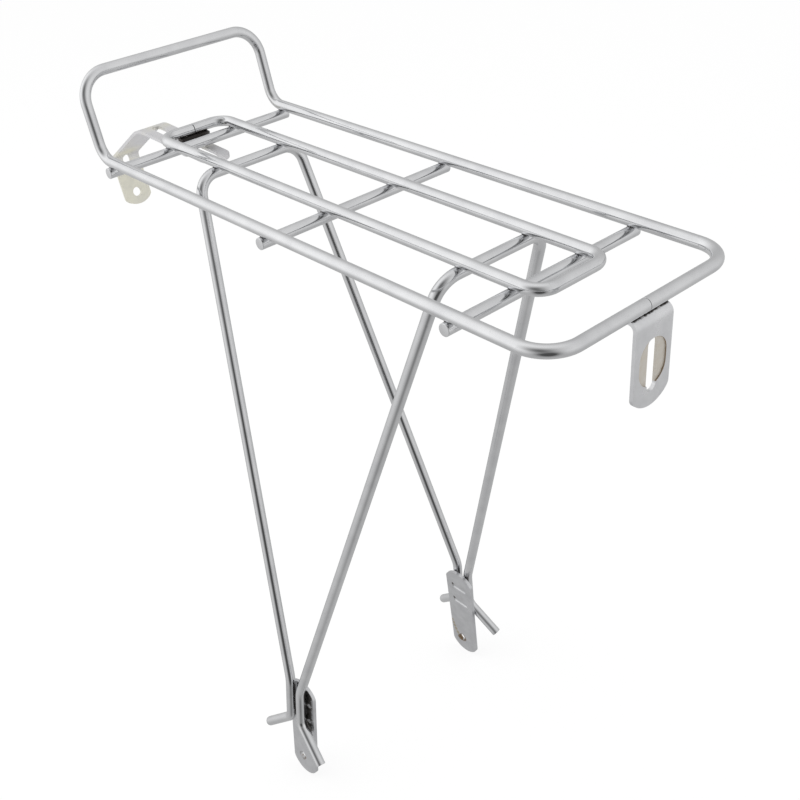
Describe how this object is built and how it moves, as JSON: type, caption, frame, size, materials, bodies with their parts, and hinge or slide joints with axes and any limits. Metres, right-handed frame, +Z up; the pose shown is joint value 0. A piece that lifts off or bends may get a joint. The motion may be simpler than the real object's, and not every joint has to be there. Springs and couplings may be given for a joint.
{
  "type": "bicycle rear rack",
  "caption": "Bent-rod luggage deck with a raised front hoop on leg hoops ending in foot plates, with a reflector bracket and a slotted adjustable front stay.",
  "frame": {"origin": "centre of the footprint at the height of the foot plates' lowest points", "axes": "+X forward towards the raised hoop and the front stay, +Y to the rider's left, +Z up"},
  "size_m": [0.4628, 0.1826, 0.4741],
  "materials": {
    "polished_rod": "bright-plated drawn rod, satin sheen",
    "plain_plate": "plated pressed sheet",
    "zinc_strip": "pale yellowish zinc-plated strip",
    "fastener": "zinc-plated fasteners"
  },
  "bodies": {
    "frame": {"outer_frame": "polished_rod", "inner_loop": "polished_rod", "cross_rod_front": "polished_rod", "cross_rod_middle": "polished_rod", "cross_rod_rear": "polished_rod", "leg_hoop_front": "polished_rod", "leg_hoop_rear": "polished_rod", "foot_plate_left": "plain_plate", "foot_plate_right": "plain_plate", "reflector_bracket": "plain_plate", "stay_tab": "plain_plate", "stay_nut": "fastener"},
    "clamp": {"stay_screw": "fastener", "stay_washer": "fastener"},
    "stay": {"front_stay": "zinc_strip"}
  },
  "joints": [
    {"name": "stay_swivel", "type": "hinge", "parent": "frame", "child": "clamp", "pos_m": [0.13973, 0, 0.41916], "axis": [-0.0419, 0, 0.9991], "range_deg": [-15, 15]},
    {"name": "stay_slide", "type": "slide", "parent": "clamp", "child": "stay", "axis": [0.9991, 0, 0.0419], "range_m": [-0.036, 0.0245]}
  ]
}
